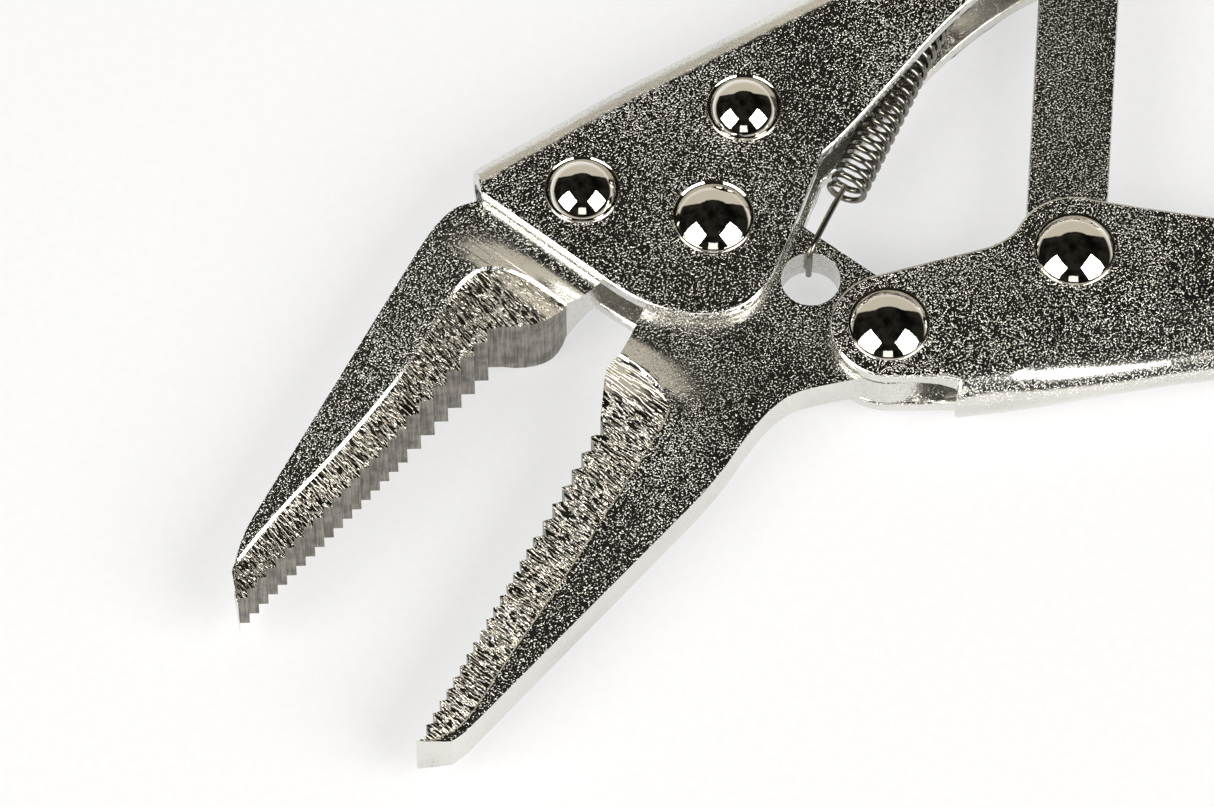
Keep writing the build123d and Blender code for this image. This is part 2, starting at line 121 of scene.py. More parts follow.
class Value:
    """A socket of a node tree that can be added, scaled and compared like a number."""

    def __init__(self, tree, socket):
        self.tree = tree
        self.socket = socket

    def node(self, kind, settings=None, values=None, output=0):
        """Adds one node of any kind: its settings first, then its values and links."""
        made = self.tree.nodes.new(kind)
        for key, value in (settings or {}).items():
            setattr(made, key, value)
        for key, value in (values or {}).items():
            if isinstance(value, Value):
                self.tree.links.new(value.socket, made.inputs[key])
            else:
                made.inputs[key].default_value = value
        return Value(self.tree, made.outputs[output])

    def math(self, operation, *terms):
        return self.node("ShaderNodeMath", {"operation": operation}, dict(enumerate(terms)))

    def __add__(self, other):
        return self.math("ADD", self, other)

    def __radd__(self, other):
        return self.math("ADD", other, self)

    def __sub__(self, other):
        return self.math("SUBTRACT", self, other)

    def __rsub__(self, other):
        return self.math("SUBTRACT", other, self)

    def __mul__(self, other):
        return self.math("MULTIPLY", self, other)

    def __rmul__(self, other):
        return self.math("MULTIPLY", other, self)

    def ramp(self, low, high):
        """0 below low, 1 above high, with a soft start and end."""
        return self.node("ShaderNodeMapRange", {"interpolation_type": "SMOOTHSTEP"},
                         {"Value": self, "From Min": low, "From Max": high})

    def blend(self, low, high):
        """A colour between two colours."""
        return self.node("ShaderNodeMix", {"data_type": "RGBA"}, {0: self, 6: low, 7: high}, 2)

    def noise(self, scale, detail=2.0, rough=0.5):
        """Noise over the point that this value holds."""
        return self.node("ShaderNodeTexNoise", {"noise_dimensions": "3D"},
                         {"Vector": self, "Scale": scale, "Detail": detail, "Roughness": rough})

    def turned(self, turn, stretch):
        """The point seen along a turn about Z, with its pattern drawn out on each axis."""
        return self.node("ShaderNodeMapping", {"vector_type": "TEXTURE"},
                         {"Vector": self, "Rotation": (0, 0, turn), "Scale": stretch})


def sky():
    """Dark drapes on every side, and the cream wall rising behind the pliers."""
    drape_shade, drape_fold = (0.003, 0.003, 0.0025, 1), (0.022, 0.020, 0.016, 1)
    wall_cream, low_cream = (0.62, 0.58, 0.49, 1), (0.80, 0.76, 0.68, 1)
    world = bpy.data.worlds.new("studio")
    world.use_nodes = True
    bpy.context.scene.world = world
    tree = world.node_tree
    ray = Value(tree, tree.nodes.new("ShaderNodeTexCoord").outputs["Generated"])
    height = ray.node("ShaderNodeSeparateXYZ", None, {0: ray}, 2)
    behind = ray.node("ShaderNodeVectorMath", {"operation": "DOT_PRODUCT"},
                      {0: ray, 1: (0.5, 0.866, 0.0)}, 1)
    sweep = behind.ramp(0.66, 0.70) * (1 - height.ramp(0.60, 0.64))
    low_glow = 1 - height.ramp(0.02, 0.16)
    drape = ray.noise(2.2, 2.0).ramp(0.35, 0.7).blend(drape_shade, drape_fold)
    lit = low_glow.blend(sweep.blend(drape, wall_cream), low_cream)
    tree.links.new(lit.socket, tree.nodes["Background"].inputs["Color"])


sky()

bpy.ops.mesh.primitive_plane_add(size=6)
floor = bpy.context.object
floor.name = "paper_floor"


def shader_of(material):
    """The material's own shader, and the point on the piece that its patterns follow."""
    material.use_nodes = True
    tree = material.node_tree
    shader = tree.nodes["Principled BSDF"]
    point = Value(tree, tree.nodes.new("ShaderNodeTexCoord").outputs["Object"])
    return shader, point


def wire(shader, name, value):
    """Links a value to one of the shader's inputs."""
    value.tree.links.new(value.socket, shader.inputs[name])


paper = bpy.data.materials.new("white_paper")
shader, point = shader_of(paper)
wire(shader, "Base Color",
     point.noise(900, 3).blend((0.29, 0.29, 0.295, 1), (0.33, 0.33, 0.335, 1)))
shader.inputs["Roughness"].default_value = 0.9
shader.inputs["Specular IOR Level"].default_value = 0.2
shader.inputs["Emission Color"].default_value = (1, 1, 1, 1)
shader.inputs["Emission Strength"].default_value = 0.56
floor.data.materials.append(paper)


# Upper handle: a channel pressed from 1.65 mm sheet, folded over its spine and nickel plated
# over a pebbled surface. The plate is bright on the bends and where hands have rubbed it, and
# the pebbling throws back a fine sparkle everywhere else.
PEBBLES = 5500              # how fine the blasted grain is, in cells to a metre
SHEET_EDGE = 0.42 * MM
STRAY = 0.6                 # a rounded corner stays this near the surface, in roundings


def pebbled_nickel(name, grain, depth, sheen, tint=(0.80, 0.785, 0.745, 1)):
    """Nickel plate over a blasted surface: fine pebbles, larger dimples, slow drift of sheen."""
    material = bpy.data.materials.new(name)
    shader, point = shader_of(material)
    pebbles = point.noise(grain, 1.0, 0.5)
    dimples = point.noise(grain * 0.42, 1.5, 0.5)
    drift = point.noise(80, 2.0, 0.5)
    level = 0.61 - 0.06 * drift.ramp(0.30, 0.75)
    height = (pebbles - level).ramp(0.0, 0.13) + 0.2 * dimples
    bump = point.node("ShaderNodeBump", None,
                      {"Strength": depth, "Distance": 0.13 * MM, "Height": height})
    worn = drift.ramp(0.35, 0.7).blend(tint, tuple(part * 0.88 for part in tint[:3]) + (1,))
    wire(shader, "Base Color", worn)
    wire(shader, "Roughness", sheen + 0.08 * (1 - (pebbles - level).ramp(-0.02, 0.06)))
    wire(shader, "Normal", bump)
    shader.inputs["Metallic"].default_value = 1.0
    return material


def finished(bm, name, sharp):
    """Writes a bmesh to a new object, smooth but for its sharp edges."""
    mesh = bpy.data.meshes.new(name)
    bm.to_mesh(mesh)
    bm.free()
    mesh.shade_smooth()
    mesh.set_sharp_from_angle(angle=radians(sharp))
    piece = bpy.data.objects.new(name, mesh)
    bpy.context.scene.collection.objects.link(piece)
    weighted = piece.modifiers.new("flat_faces_first", "WEIGHTED_NORMAL")
    weighted.mode = "FACE_AREA_WITH_ANGLE"
    weighted.keep_sharp = True
    return piece


def soft_copy(node_name, round_over, sharp=35, steps=2, shape=None):
    """A merged copy of a CAD node's mesh, shaped if asked, with its sharp edges rounded over."""
    bm = bmesh.new()
    bm.from_mesh(frame["nodes"][node_name].data)
    bmesh.ops.remove_doubles(bm, verts=bm.verts, dist=0.002 * MM)
    bmesh.ops.dissolve_degenerate(bm, dist=0.001 * MM, edges=bm.edges)
    bmesh.ops.dissolve_limit(bm, angle_limit=radians(0.6), verts=bm.verts, edges=bm.edges)
    if shape:
        shape(bm)
    # where edges meet at a sliver the rounding can shoot out, so it is held to this surface
    surface = BVHTree.FromBMesh(bm)
    edges = [edge for edge in bm.edges
             if edge.is_manifold and edge.calc_face_angle(0) > radians(sharp)]
    bmesh.ops.bevel(bm, geom=edges, offset=round_over, offset_type="OFFSET", affect="EDGES",
                    segments=steps, profile=0.5, material=-1, clamp_overlap=False)
    for vert in bm.verts:
        nearest, _, _, gap = surface.find_nearest(vert.co)
        if gap > STRAY * round_over:
            vert.co = nearest
    bmesh.ops.remove_doubles(bm, verts=bm.verts, dist=0.001 * MM)
    bmesh.ops.recalc_face_normals(bm, faces=bm.faces)
    piece = finished(bm, node_name + "_rounded", 38)
    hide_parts(node_name)
    return piece


handle_nickel = pebbled_nickel("handle_nickel", PEBBLES, 0.50, 0.08)
upper_handle = soft_copy("upper_handle", SHEET_EDGE, steps=3)
upper_handle.data.materials.append(handle_nickel)
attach(upper_handle, "upper_handle")

# Lower handle: the same folded channel, cranked at the ear where the movable jaw enters it.
# Its cheeks bow in towards the spine, so the light runs along them in one broad band.
GRIP_TURN = radians(-43)
grip_origin = joint_place("toggle_pivot")
grip_along = Vector((cos(GRIP_TURN), sin(GRIP_TURN), 0))
grip_across = Vector((-grip_along.y, grip_along.x, 0))
# the spine's line, as millimetres along the grip and across it
SPINE_MARKS = [(-9, -19.3), (0, -15.9), (12, -10.8), (18, -8.6), (27, -6.9), (42, -7.9),
               (66, -6.4)]
SPINE_RADIUS = 4.9
BOW_REACH = 9.0             # millimetres from the spine at which a cheek starts to bow
BOW_END = 4.5               # and at which it bows no further
BOW = 0.065                 # how strongly it does
BOW_START, BOW_GROWTH = -3, 9   # millimetres along the grip where it starts, and grows over


def bowed(bm):
    """Cuts the cheeks into a grid and pulls them in towards the spine."""
    for cuts, axis in ((range(-8, 5), grip_across), (range(-2, 62, 4), grip_along)):
        for cut in cuts:
            geom = bm.verts[:] + bm.edges[:] + bm.faces[:]
            bmesh.ops.bisect_plane(bm, geom=geom, dist=0.0005 * MM,
                                   plane_co=grip_origin + axis * cut * MM, plane_no=axis)
    for vert in bm.verts:
        arm = (vert.co - grip_origin) / MM
        along, across = arm.dot(grip_along), arm.dot(grip_across)
        for (start, low), (end, high) in zip(SPINE_MARKS, SPINE_MARKS[1:]):
            if start <= along <= end:
                spine = low + (high - low) * (along - start) / (end - start)
                pull = BOW * max(BOW_REACH - max(across - spine, BOW_END), 0) ** 2
                fade = min(max((along - BOW_START) / BOW_GROWTH, 0), 1)
                squeeze = 1 - pull * fade / SPINE_RADIUS
                vert.co.z = mid_height + (vert.co.z - mid_height) * squeeze
                break


lower_handle = soft_copy("lower_handle", SHEET_EDGE, steps=3, shape=bowed)
lower_handle.data.materials.append(handle_nickel)
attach(lower_handle, "lower_handle")

# Toggle link: a flat bar blanked from plate, its edges slightly rounded by tumbling before it
# was plated. It carries the lower handle's push to the screw's end.
link_nickel = pebbled_nickel("link_nickel", PEBBLES, 0.45, 0.12, (0.74, 0.725, 0.69, 1))
toggle_link = soft_copy("toggle_link", 0.3 * MM)
toggle_link.data.materials.append(link_nickel)
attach(toggle_link, "toggle_link")

# Release lever: a small stamped lever inside the lower handle, with a thumb pad at its end. It
# swings on a pin through the cheeks and nudges the toggle link back over centre.
release_lever = soft_copy("release_lever", 0.2 * MM)
release_lever.data.materials.append(link_nickel)
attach(release_lever, "release_lever")

# Jaws: drop forged, blasted and nickel plated, then milled along the teeth. Each milled band is a
# shallow shelf with a rounded wall, cut across by the cutter, and the teeth are ground square to
# the tooth line. The fixed jaw is clamped between the cheeks by two rivets.
NOTCH_DEPTH = 0.47          # depth of a tooth, in pitches
COARSE, FINE = 2.08 * MM, 1.41 * MM     # the pitches
COARSE_TEETH = 7
BAND_DEPTH = 0.34 * MM      # how far the milled band is sunk
BAND_WALL = 0.24 * MM       # how wide its wall is, seen from above
WALL_EDGE = 0.14 * MM       # roundings: along that wall, round the jaw, and along the teeth
JAW_EDGE = 0.45 * MM
TOOTH_EDGE = 0.06 * MM
TIP_WIDTH = 3.0             # half thickness near the tip, in millimetres
THROAT_GAIN = 1.7           # what the jaw gains up to the throat
BACK_TAPER = 0.19           # what it loses a millimetre away from its teeth
TIP_SPARE = 3.0             # how far beyond its tip a jaw would keep tapering, in millimetres
SLOPE_LEAD = 0.9            # how far before the throat the slope down to the neck starts
SLOPE_SPARE = 0.3           # and how much longer it is than throat to neck
BOSS_HOLE = 2.55 * MM       # radius of the holes for the pivots
FORGED, MILLED, GROUND = 0, 1, 2        # slots of a jaw's three finishes


def milled_nickel(turn):
    """Bright cutter scratches that run at a turn in the jaw's plane, over ragged facets."""
    material = bpy.data.materials.new("milled_nickel")
    shader, point = shader_of(material)
    warp = point.noise(500, 1.0)
    bent = point.node("ShaderNodeVectorMath", {"operation": "MULTIPLY_ADD"},
                      {0: warp.node("ShaderNodeCombineXYZ", None, {0: warp, 1: warp, 2: warp}),
                       1: (0.12 * MM, 0.12 * MM, 0), 2: point})
    scratches = bent.turned(turn, (18.0, 1.0, 1.0)).noise(3700, 2.0, 0.55)
    facets = bent.turned(turn, (5.0, 1.0, 1.0)).noise(1100, 1.0, 0.5)
    height = scratches.ramp(0.44, 0.56) + 0.35 * facets
    bump = point.node("ShaderNodeBump", None,
                      {"Strength": 1.0, "Distance": 0.10 * MM, "Height": height})
    wire(shader, "Base Color",
         facets.ramp(0.4, 0.6).blend((0.74, 0.71, 0.65, 1), (0.86, 0.83, 0.77, 1)))
    wire(shader, "Roughness", 0.07 + 0.10 * facets.ramp(0.3, 0.7))
    wire(shader, "Normal", bump)
    shader.inputs["Metallic"].default_value = 1.0
    return material


def ground_nickel():
    """Satin tooth faces with fine grooves that run across the jaw's width."""
    material = bpy.data.materials.new("ground_teeth")
    shader, point = shader_of(material)
    grooves = point.turned(0, (1.0, 1.0, 20.0)).noise(4200, 3.0, 0.7)
    stains = point.noise(700, 2.0)
    bump = point.node("ShaderNodeBump", None,
                      {"Strength": 0.5, "Distance": 0.06 * MM, "Height": grooves})
    wire(shader, "Base Color", (0.6 * grooves + 0.4 * stains).ramp(0.35, 0.65).blend(
        (0.13, 0.12, 0.105, 1), (0.36, 0.34, 0.30, 1)))
    wire(shader, "Roughness", 0.34 + 0.2 * stains)
    wire(shader, "Normal", bump)
    shader.inputs["Metallic"].default_value = 0.85
    return material


def mm_point(x, y):
    """A point on the middle plane, given in millimetres from the jaw pivot's axis."""
    return Vector((x * MM, y * MM, mid_height))


def polar(centre, radius, angle):
    """A point of a circle, its radius in millimetres and its angle in degrees."""
    return centre + Vector((cos(radians(angle)), sin(radians(angle)), 0)) * radius * MM


def bend(start, through, end, steps):
    """Points of a smooth bend from start to end that passes through a third point."""
    control = 2 * through - 0.5 * (start + end)
    points = []
    for step in range(1, steps):
        t = step / steps
        points.append((1 - t) ** 2 * start + 2 * t * (1 - t) * control + t * t * end)
    return points


def smooth_line(marks, steps=6):
    """Points of a smooth line through marks, given in millimetres."""
    marks = [mm_point(*mark) for mark in marks]
    points = []
    for k in range(len(marks) - 1):
        before = marks[max(k - 1, 0)]
        start, end = marks[k], marks[k + 1]
        after = marks[min(k + 2, len(marks) - 1)]
        for step in range(steps):
            t = step / steps
            points.append(0.5 * (2 * start + (end - before) * t
                                 + (2 * before - 5 * start + 4 * end - after) * t * t
                                 + (3 * start - before - 3 * end + after) * t ** 3))
    return points + [marks[-1]]


def tooth_points(start, towards, pitch, count, side):
    """Crests and roots of V teeth from start, in metres, the roots to one side of the line."""
    along = (towards - start).normalized()
    across = Vector((-along.y, along.x, 0)) * side
    points = []
    for tooth in range(count):
        crest = start + along * pitch * tooth
        points += [crest, crest + along * pitch / 2 + across * pitch * NOTCH_DEPTH]
    return points


def jaw_half_width(point, tip, heading, throat, neck, thin, tooth_side):
    """Half thickness of a jaw at a point: widest at the teeth and the throat, thin at the neck."""
    along = (point - tip).dot(heading) / MM
    across = Vector((-heading.y, heading.x, 0)) * tooth_side
    from_teeth = max((point - tip).dot(across) / MM, -0.6)
    gained = THROAT_GAIN * (along + TIP_SPARE) / (throat + TIP_SPARE)
    wide = TIP_WIDTH + gained - BACK_TAPER * from_teeth
    if along <= throat - SLOPE_LEAD:
        return wide * MM
    slope = min((along - throat + SLOPE_LEAD) / (neck - throat + SLOPE_SPARE), 1.0)
    eased = slope * slope * (3 - 2 * slope)
    return (wide + (thin - wide) * eased) * MM


def jaw(name, body, outline, tooth_run, band, tip, heading, throat, neck, thin, side, turn, holes):
    """One jaw: its outline filled, its band split off and sunk, then given thickness."""
    bm = bmesh.new()
    verts = [bm.verts.new(point) for point in outline]
    face = bm.faces.new(verts)
    start, end = verts[tooth_run[0]], verts[tooth_run[1]]
    bmesh.utils.face_split(face, start, end, coords=band)
    tooth_verts = set(verts[tooth_run[0] + 1:tooth_run[1]])
    band_layer = bm.faces.layers.int.new("band")
    for face in bm.faces:
        face[band_layer] = int(any(vert in tooth_verts for vert in face.verts))
    for centre, radius in holes:
        bmesh.ops.create_circle(bm, segments=48, radius=radius, matrix=Matrix.Translation(centre))
    if holes:
        plate = [face for face in bm.faces if not face[band_layer]]
        rim = {edge for face in plate for edge in face.edges}
        loose = [edge for edge in bm.edges if not edge.link_faces]
        bmesh.ops.delete(bm, geom=plate, context="FACES_ONLY")
        bmesh.ops.triangle_fill(bm, edges=list(rim) + loose, use_beauty=True, normal=(0, 0, 1))
    # cuts across the jaw, where its width changes along its length
    slope_length = neck - throat + SLOPE_SPARE
    stations = [throat - SLOPE_LEAD + step * slope_length / 18 for step in range(19)]
    stations += [step * throat / 14 for step in range(1, 13)]
    for station in stations:
        geom = bm.verts[:] + bm.edges[:] + bm.faces[:]
        bmesh.ops.bisect_plane(bm, geom=geom, dist=0.0005 * MM,
                               plane_co=tip + heading * station * MM, plane_no=heading)
    floor_faces = [face for face in bm.faces if face[band_layer]]
    walls = bmesh.ops.inset_region(bm, faces=floor_faces, use_boundary=False, use_even_offset=True,
                                   thickness=BAND_WALL, depth=0)["faces"]
    floor_faces = set(floor_faces)
    sunk = {vert for face in floor_faces for vert in face.verts}
    bmesh.ops.recalc_face_normals(bm, faces=bm.faces)
    for vert in bm.verts:
        half = jaw_half_width(vert.co, tip, heading, throat, neck, thin, side)
        if vert in sunk:
            half -= BAND_DEPTH
        vert.co.z = mid_height + half
    if sum(face.normal.z for face in bm.faces) < 0:
        bmesh.ops.reverse_faces(bm, faces=bm.faces)
    for face in bm.faces:
        face.material_index = MILLED if face in floor_faces else FORGED
    # the wall of the shelf and the rim of the jaw are softened before the sides go down
    corners = [edge for edge in bm.edges if len(edge.link_faces) == 2
               and (edge.link_faces[0] in walls) != (edge.link_faces[1] in walls)]
    bmesh.ops.bevel(bm, geom=corners, offset=WALL_EDGE, offset_type="OFFSET", affect="EDGES",
                    segments=3, profile=0.5, material=-1, clamp_overlap=True)
    rim = [edge for edge in bm.edges if len(edge.link_faces) == 1]
    is_tooth = {edge: edge.link_faces[0].material_index == MILLED for edge in rim}
    sides = bmesh.ops.extrude_edge_only(bm, edges=rim)["geom"]
    side_faces = [item for item in sides if isinstance(item, bmesh.types.BMFace)]
    for vert in [item for item in sides if isinstance(item, bmesh.types.BMVert)]:
        vert.co.z = mid_height
    for face in side_faces:
        top = max(face.edges, key=lambda edge: sum(vert.co.z for vert in edge.verts))
        face.material_index = GROUND if is_tooth.get(top, False) else FORGED
    rounded = [edge for edge in rim if edge.is_valid and not is_tooth[edge]]
    bmesh.ops.bevel(bm, geom=rounded, offset=JAW_EDGE, offset_type="OFFSET", affect="EDGES",
                    segments=4, profile=0.5, material=-1, clamp_overlap=True)
    nicked = [edge for edge in bm.edges if len(edge.link_faces) == 2
              and {face.material_index for face in edge.link_faces} == {MILLED, GROUND}]
    bmesh.ops.bevel(bm, geom=nicked, offset=TOOTH_EDGE, offset_type="OFFSET", affect="EDGES",
                    segments=1, profile=0.5, material=-1, clamp_overlap=True)
    bmesh.ops.mirror(bm, geom=bm.verts[:] + bm.edges[:] + bm.faces[:],
                     matrix=Matrix.Translation((0, 0, -mid_height)), axis="Z",
                     merge_dist=0.002 * MM)
    bmesh.ops.remove_doubles(bm, verts=bm.verts, dist=0.002 * MM)
    low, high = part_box(name)
    for vert in bm.verts:
        vert.co.x = min(max(vert.co.x, low[0]), high[0])
    bmesh.ops.recalc_face_normals(bm, faces=bm.faces)
    bmesh.ops.triangulate(bm, faces=bm.faces)
    piece = finished(bm, name + "_forging", 34)
    for material in (jaw_nickel, milled_nickel(turn), ground_nickel()):
        piece.data.materials.append(material)
    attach(piece, body)
    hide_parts(name)
    return piece


jaw_nickel = pebbled_nickel("jaw_nickel", PEBBLES, 0.50, 0.08, (0.78, 0.765, 0.725, 1))
pivot = mm_point(0, 0)
NOSE_TEETH = 18             # fine ones
nose_tip = mm_point(-62.4, -14.1)
nose_heading = Vector((cos(radians(20)), sin(radians(20)), 0))
fine_end = nose_tip + nose_heading * NOSE_TEETH * FINE
coarse_end = fine_end + nose_heading * COARSE_TEETH * COARSE
nose = tooth_points(nose_tip, fine_end, FINE, NOSE_TEETH, 1)
nose += tooth_points(fine_end, coarse_end, COARSE, COARSE_TEETH, 1) + [coarse_end]
nose += bend(coarse_end, mm_point(-20.9, -2.1), mm_point(-17.6, -1.0), 8)
nose += [mm_point(-17.6, -1.0)]
nose_run = (0, len(nose) - 1)
nose += [polar(pivot, 8.2, 172 - 142 * step / 30) for step in range(31)]
nose += [mm_point(13.2, 5.2), mm_point(13.2, 14.2), mm_point(-18.5, 14.2)]
nose += smooth_line([(-18.5, 14.2), (-20.3, 14.6), (-22, 14.7), (-24.6, 13.8), (-27.5, 12.2)])[1:]
nose += [mm_point(-55.3, -5.3)]
nose += bend(mm_point(-55.3, -5.3), mm_point(-60.0, -9.2), nose_tip, 12)
nose_band = smooth_line([(-61.3, -11.0), (-59.9, -9.3), (-52.6, -6.2), (-45.3, -3.6), (-36, 0.5),
                         (-29, 4.7), (-25.6, 6.5), (-23.2, 6.8), (-21.3, 6.0), (-19.4, 3.6),
                         (-18.2, 0.6)])
jaw("fixed_jaw", "upper_handle", nose, nose_run, nose_band, nose_tip, nose_heading,
    44.2, 50.2, 2.12, 1, radians(-82), ())

# Movable jaw: a forged plate with a boss on the jaw pivot and a lobe on the handle's pivot. Its
# nose carries the same milled band and teeth, and a hole behind the boss takes the spring's hook.
LIP_TEETH = 17
lip_tip = mm_point(-54.5, -35.7)
lip_start = mm_point(-21.5, -14.5)
lip_heading = (lip_start - lip_tip).normalized()
lip_fine = lip_start - lip_heading * COARSE_TEETH * COARSE
handle_pivot = mm_point(9.0, -19.4)
lip = [polar(pivot, 7.6, -20 + 216 * step / 44) for step in range(45)]
lip_first = len(lip)
lip += [mm_point(-15.7, -8.4)]
lip += bend(mm_point(-15.7, -8.4), mm_point(-17.5, -9.2), mm_point(-18.7, -10.5), 5)
lip += [mm_point(-18.7, -10.5)]
lip += tooth_points(lip_start, lip_tip, COARSE, COARSE_TEETH, 1)
lip += tooth_points(lip_fine, lip_tip, FINE, LIP_TEETH, 1) + [lip_tip]
lip_run = (lip_first, len(lip) - 1)
lip += [mm_point(-51.4, -37.3), mm_point(-49.6, -37.0), mm_point(-17.0, -26.1)]
lip += smooth_line([(-17.0, -26.1), (-13.2, -24.5), (-9.5, -22.6), (-5.6, -21.0), (-2, -20.7),
                    (4.08, -22.47)])[1:-1]
lip += [polar(handle_pivot, 5.8, 212 + 158 * step / 32) for step in range(33)]
lip += [mm_point(11.3, -13.0), mm_point(8.0, -5.0)]
lip_band = smooth_line([(-15.7, -8.4), (-14.4, -12.2), (-14.3, -15.9), (-16.9, -18.3),
                        (-20.3, -20.3), (-27.2, -24.2), (-34, -28), (-40.6, -31.5),
                        (-45.8, -34.4), (-49.9, -36.3), (-53.4, -36.3)])[1:]
lip_holes = ((pivot, BOSS_HOLE), (handle_pivot, BOSS_HOLE), (mm_point(5.4, -10.2), 3.0 * MM))
jaw("movable_jaw", "movable_jaw", lip, lip_run, lip_band, lip_tip, lip_heading,
    41.5, 52.0, 2.0, -1, radians(-66), lip_holes)

# Rivets: steel pins headed cold by a domed set and polished, with a low ring of displaced metal
# round each head. Three are pivots and two hold the fixed jaw's tang.
polished_nickel = bpy.data.materials.new("polished_nickel")
shader, point = shader_of(polished_nickel)
wire(shader, "Base Color",
     point.noise(400, 2).blend((0.88, 0.85, 0.79, 1), (0.80, 0.77, 0.71, 1)))
wire(shader, "Roughness", 0.03 + 0.07 * point.noise(1100, 3).ramp(0.5, 0.8))
wire(shader, "Normal", point.node("ShaderNodeBump", None, {
    "Strength": 0.25, "Distance": 0.03 * MM, "Height": point.noise(1500, 2.0)}))
shader.inputs["Metallic"].default_value = 1.0


HALF_GRIP = 3.8 * MM        # half of what a rivet holds between its heads
SHANK = 2.5 * MM
FOOT_FLAT = 0.42            # the flat of the set head, as a share of its radius
RING_WALL = 0.22 * MM       # the displaced ring: its upright wall, its top and its widths
RING_TOP = 0.34 * MM
RING_FROM, RING_TO = 0.1 * MM, 0.28 * MM


def turned_profile(bm, centre, profile, segments=72):
    """Spins a profile of (radius, height) pairs, in metres, about an upright axis."""
    verts = [bm.verts.new((centre.x + radius, centre.y, height)) for radius, height in profile]
    edges = [bm.edges.new(pair) for pair in zip(verts, verts[1:])]
    bmesh.ops.spin(bm, geom=verts + edges, cent=centre, axis=(0, 0, 1), angle=tau, steps=segments,
                   use_merge=True)
    bmesh.ops.remove_doubles(bm, verts=bm.verts, dist=0.001 * MM)
    bmesh.ops.recalc_face_normals(bm, faces=bm.faces)


def rivet(name, body, ring):
    """One rivet in its node's box: flat set head under, shank, domed head over."""
    low, high = (Vector(corner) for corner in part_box(name))
    centre = (low + high) / 2
    radius = (high.x - low.x) / 2
    top = mid_height + HALF_GRIP
    bottom = mid_height - HALF_GRIP
    profile = [(0, low.z), (radius * FOOT_FLAT, low.z)]
    profile += [(radius * (FOOT_FLAT + (1 - FOOT_FLAT) * sin(turn)),
                 low.z + (bottom - low.z) * (1 - cos(turn)))
                for turn in (pi / 2 * step / 7 for step in range(1, 8))]
    profile += [(SHANK, bottom), (SHANK, top), (radius, top)]
    furrow = 0.12 * MM if ring else 0.05 * MM
    profile += [(radius, top + RING_WALL), (radius - RING_FROM, top + RING_TOP),
                (radius - RING_TO, top + RING_TOP - furrow)]
    foot, foot_height = profile[-1]
    cap = high.z - foot_height
    dome = (foot * foot + cap * cap) / (2 * cap)
    spread = asin(foot / dome)
    profile += [(dome * sin(turn), high.z - dome * (1 - cos(turn)))
                for turn in (spread * (1 - step / 20) for step in range(1, 20))]
    profile += [(0, high.z)]
    bm = bmesh.new()
    turned_profile(bm, Vector((centre.x, centre.y, 0)), profile)
    piece = finished(bm, name + "_set", 40)
    piece.data.materials.append(polished_nickel)
    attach(piece, body)
    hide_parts(name)


for name, body, ring in (("jaw_rivet_front", "upper_handle", True),
                         ("jaw_rivet_rear", "upper_handle", True),
                         ("jaw_pivot_rivet", "upper_handle", True),
                         ("handle_pivot_rivet", "lower_handle", False),
                         ("toggle_pivot_rivet", "lower_handle", False)):
    rivet(name, body, ring)

# Return spring: close-wound bright steel wire. Its front hook drops through the movable jaw's
# hole, and its rear loop goes through the tab inside the upper handle.
spring_wire = bpy.data.materials.new("spring_wire")
shader, point = shader_of(spring_wire)
wire(shader, "Base Color",
     point.noise(1300, 2).blend((0.15, 0.14, 0.12, 1), (0.34, 0.32, 0.28, 1)))
wire(shader, "Roughness", 0.16 + 0.14 * point.noise(2500, 2))
shader.inputs["Metallic"].default_value = 1.0
HOOK_POINT = mm_point(6.6, -7.9)
TAB_POINT = mm_point(37.5, 14.3)
WIRE = 0.325 * MM           # radius of the wire, and of the line that its coil follows
COIL_LINE = 1.775 * MM
COIL_FROM, COIL_TO, COIL_TURNS = 8.7 * MM, 34.4 * MM, 21
TURN_STEPS = 20
EAR_HALF = 2.0 * MM         # half of the ear that the front hook goes round
HOOK_CLEARANCE = 0.45 * MM
LOOP_RADIUS = 1.5 * MM
spring_length = (TAB_POINT - HOOK_POINT).length
spring_x = (TAB_POINT - HOOK_POINT).normalized()
spring_y = Vector((-spring_x.y, spring_x.x, 0))


def spring_point(along, across, up):
    """A point given along the spring, across it and above its axis, in metres."""
    return HOOK_POINT + spring_x * along + spring_y * across + Vector((0, 0, up))


drop = EAR_HALF + HOOK_CLEARANCE + WIRE
route = [spring_point(0, 0, -drop + 1.0 * MM), spring_point(0, 0, 0),
         spring_point(0, 0, drop * 0.7),
         spring_point(0.25 * MM, 0, drop), spring_point(1.2 * MM, 0, drop + 0.1 * MM),
         spring_point(3.5 * MM, 0, drop * 0.98), spring_point(6.2 * MM, 0, drop * 0.9)]
steps = COIL_TURNS * TURN_STEPS
coil_start, coil_end = COIL_FROM + WIRE, COIL_TO - WIRE
for step in range(steps + 1):
    turn = tau * step / TURN_STEPS
    along = coil_start + (coil_end - coil_start) * step / steps
    route.append(spring_point(along, sin(turn) * COIL_LINE, cos(turn) * COIL_LINE))
route += [spring_point(spring_length - 2.4 * MM, 0.6 * MM, 1.0 * MM)]
route += [spring_point(spring_length + cos(turn) * LOOP_RADIUS, sin(turn) * LOOP_RADIUS, 0)
          for turn in (pi * (0.75 - 1.35 * step / 10) for step in range(11))]
curve = bpy.data.curves.new("return_spring_line", "CURVE")
curve.dimensions = "3D"
curve.bevel_depth = WIRE
curve.bevel_resolution = 3
curve.use_fill_caps = True
line = curve.splines.new("POLY")
line.points.add(len(route) - 1)
for spot, place in zip(line.points, route):
    spot.co = (*place, 1)
wound = bpy.data.objects.new("return_spring_line", curve)
bpy.context.scene.collection.objects.link(wound)
bpy.context.view_layer.update()
